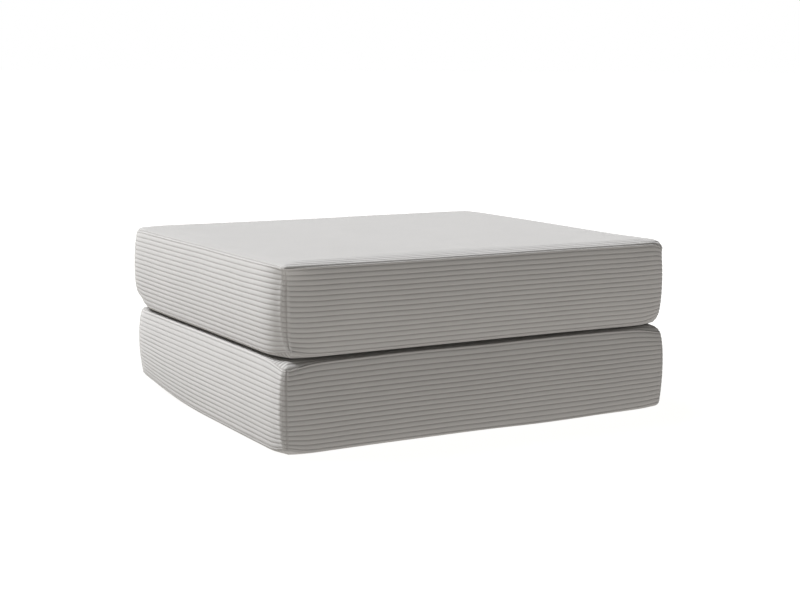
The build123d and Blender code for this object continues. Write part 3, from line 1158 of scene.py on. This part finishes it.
def glowing_floor_finish():
    """A white studio table that glows, as painted light: the glow hides shadows on it and is dimmer
    near the object.
    """
    finish = Finish("studio_floor")
    shade = finish.noise(finish.place, 3.0)
    spot = finish.wire("VectorMath", "Value", {"operation": "LENGTH"}, n0=finish.place)
    away = finish.wire("MapRange", "Result", Value=spot, From_Min=0.7, From_Max=1.3)
    finish.set(
        Base_Color=finish.mix(shade, (0.03, 0.03, 0.03, 1), (0.04, 0.04, 0.04, 1)),
        Roughness=0.8,
        Specular_IOR_Level=0.0,
        # Painted light: the floor glows, less within 0.7 m of the middle than further out
        Emission_Color=finish.mix(away, (0.85, 0.842, 0.832, 1), (1.0, 0.99, 0.976, 1)),
        Emission_Strength=1.18,
    )
    return finish.material


FINISHES = {
    "corduroy": corduroy_finish(),
    "liner": woven_finish("liner_cloth", colour(222, 219, 212), colour(192, 189, 182), 0.0006, 0.3),
    "tape": woven_finish("zip_tape", colour(164, 161, 155), colour(128, 125, 119), 0.0007, 0.5),
    "wadding": wadding_finish(),
    "foam": foam_finish(),
    "enamel": enamel_finish(),
    "nylon": nylon_finish(),
    "thread": thread_finish(),
}

NODE_FINISHES = {
    "liner": "liner",
    "wadding": "wadding",
    "foam": "foam",
    "tape": "tape",
    "coil": "nylon",
    "stops": "enamel",
    "slider": "enamel",
    "pull": "enamel",
    "boxing": "corduroy",
    "panel": "corduroy",
    "strip": "corduroy",
}


def dress(piece, material):
    piece.data.materials.clear()
    piece.data.materials.append(material)


def dress_nodes():
    """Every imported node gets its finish, also those that a piece of this scene replaces."""
    for name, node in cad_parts.items():
        word = next(word for word in NODE_FINISHES if word in name)
        dress(node, FINISHES[NODE_FINISHES[word]])


# Making the object


def settle(piece, slab, finish, node=None):
    """Gives a piece its finish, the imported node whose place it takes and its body."""
    dress(piece, FINISHES[finish])
    if node:
        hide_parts(f"{slab.name}_{node}")
    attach(piece, f"{slab.name}_mattress")


def make_cover(slab, soft):
    """The seven panels of a cover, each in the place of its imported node."""
    seam = slab.half_seam
    for tail, side in (("top", 1), ("bottom", -1)):
        piece = large_panel(slab, soft, side, f"{slab.name}_cover_{tail}")
        settle(piece, slab, "corduroy", f"{tail}_panel")
    for tail, *strip in (
        ("front", "front", -seam, seam, 0),
        ("right", "right", -seam, seam, 0),
        ("left", "left", -seam, seam, 0),
        ("back_upper", "back", ZIP_HALF, seam, -1),
        ("back_lower", "back", -seam, -ZIP_HALF, 1),
    ):
        piece = boxing_strip(slab, soft, *strip, f"{slab.name}_cover_{tail}")
        settle(piece, slab, "corduroy", f"{tail}_boxing")


def make_filling(slab, soft):
    """Liner and wadding in two halves each, and the foam."""
    for face, word in ((1, "top"), (-1, "bottom")):
        for layer, (tail, slot, *sizes) in LAYERS.items():
            piece = inner_layer(slab, soft, face, f"{slab.name}_{layer}_{word}", *sizes)
            settle(piece, slab, layer, f"{layer}_{word}_{tail}")
    settle(foam_piece(slab), slab, "foam", "foam_block")


def make_zip(slab):
    """The two coils of the zip. Its tapes, stops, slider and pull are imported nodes."""
    for side, word in ((1, "upper"), (-1, "lower")):
        tail = f"zip_{word}_coil"
        settle(zip_coil(slab, side, f"{slab.name}_{tail}"), slab, "nylon", tail)


def make_stitches(slab, soft):
    """The stitches of a cover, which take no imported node's place."""
    settle(cover_stitches(slab, soft), slab, "thread")


def make_hinge(slabs, softs):
    """The strip that joins the two covers: a half round of corduroy from seam to seam."""
    box_low, box_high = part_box("hinge_strip")
    middle = (box_low.z + box_high.z) / 2
    radius = (box_high.z - box_low.z) / 2
    half_width = box_high.y - HINGE_DRAW
    along = graded(-half_width, half_width, HINGE_STEP)
    along_grid, phase = np.meshgrid(along, wale_stations(0, HINGE_WALES))
    turn = (phase / HINGE_WALES - 0.5) * math.pi
    out_x, out_z = np.cos(turn), np.sin(turn)
    place = np.stack([box_low.x + radius * out_x, along_grid, middle + radius * out_z], axis=-1)
    for slab, soft, face in zip(slabs, softs, (1, -1)):
        seam = panel_place(slab, 1.0, along, face)
        moved = soft.panel(np.array([1.0]), along, face)[:, 0] + corner_draw(slab, seam, 0 * along)
        share = np.clip((1 - face * out_z) / 2, 0, 1)
        place = place + moved[None] * share[..., None]
    hint = np.stack([out_x, 0 * out_x, out_z], axis=-1)
    wale_width = radius * math.pi / HINGE_WALES
    to_end = half_width - np.abs(along_grid)
    to_seam = np.minimum(to_end, np.minimum(phase, HINGE_WALES - phase) * wale_width)
    place, pile = corduroy(
        place, hint, hint, phase, along_grid, HINGE_SEED, to_seam, turn_in=HINGE_DEPTH
    )
    strip = cloth_piece("cover_hinge_cloth", place, pile, along_grid, phase * wale_width, 0.0)
    dress(strip, FINISHES["corduroy"])
    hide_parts("hinge_strip")
    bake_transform(strip)


# Studio


def make_studio():
    """A glowing white table (painted light) that fades into a white horizon, a dim sky, and light
    from behind left.
    """
    floor = primitive("studio_floor", bpy.ops.mesh.primitive_plane_add, size=400)
    floor.location.z = -0.4 * MM
    bpy.ops.object.transform_apply(location=True)
    dress(floor, glowing_floor_finish())

    scene = bpy.context.scene
    scene.world = bpy.data.worlds.new("studio")
    scene.world.use_nodes = True
    sky = Nodes(scene.world.node_tree)
    facing = sky.wire("TexCoord", "Generated")
    height = sky.wire("SeparateXYZ", "Z", Vector=facing)
    white, dim = (1, 1, 1, 1), (0.1, 0.1, 0.1, 1)
    stops = [(0.0, white), (0.05, white), (0.15, dim), (1.0, dim)]
    shade = sky.wire("ValToRGB", "Color", {"stops": stops}, Fac=height)
    sky.node("OutputWorld", Surface=sky.wire("Background", Color=shade, Strength=1.0))

    key = bpy.data.lights.new("window_left", "SUN")
    key.energy = 7.2
    key.angle = math.radians(28)
    key.color = (0.935, 0.96, 1.0)
    lamp = bpy.data.objects.new("window_left", key)
    scene.collection.objects.link(lamp)
    lamp.rotation_euler = Vector((0.357, -0.48, -0.874)).to_track_quat("-Z", "Y").to_euler()
    scene.view_settings.view_transform = "Standard"


def make_camera():
    """The photograph's camera, fitted to the outline and the rib lines of its 800 by 600 frame."""
    focal_pixels, frame_pixels, sensor = 1510.2, 800, 36.0
    turn, tilt, roll = (math.radians(angle) for angle in (30.129, 8.765, -0.358))
    camera = bpy.data.cameras.new("photo_camera")
    camera.sensor_width = sensor
    camera.lens = focal_pixels / frame_pixels * sensor
    camera.clip_end = 1000
    holder = bpy.data.objects.new("photo_camera", camera)
    bpy.context.scene.collection.objects.link(holder)
    holder.location = (-1.7921, -3.1247, 0.7922)
    facing = Matrix.Rotation(-turn, 3, "Z") @ Matrix.Rotation(math.pi / 2 - tilt, 3, "X")
    holder.rotation_euler = (facing @ Matrix.Rotation(-roll, 3, "Z")).to_euler()
    bpy.context.scene.camera = holder


make_camera()
make_studio()
dress_nodes()
slabs = [Slab(name) for name in SLABS]
softs = [SoftForm(slab) for slab in slabs]
for slab, soft in zip(slabs, softs):
    make_cover(slab, soft)
    make_filling(slab, soft)
    make_zip(slab)
    make_stitches(slab, soft)
make_hinge(slabs, softs)
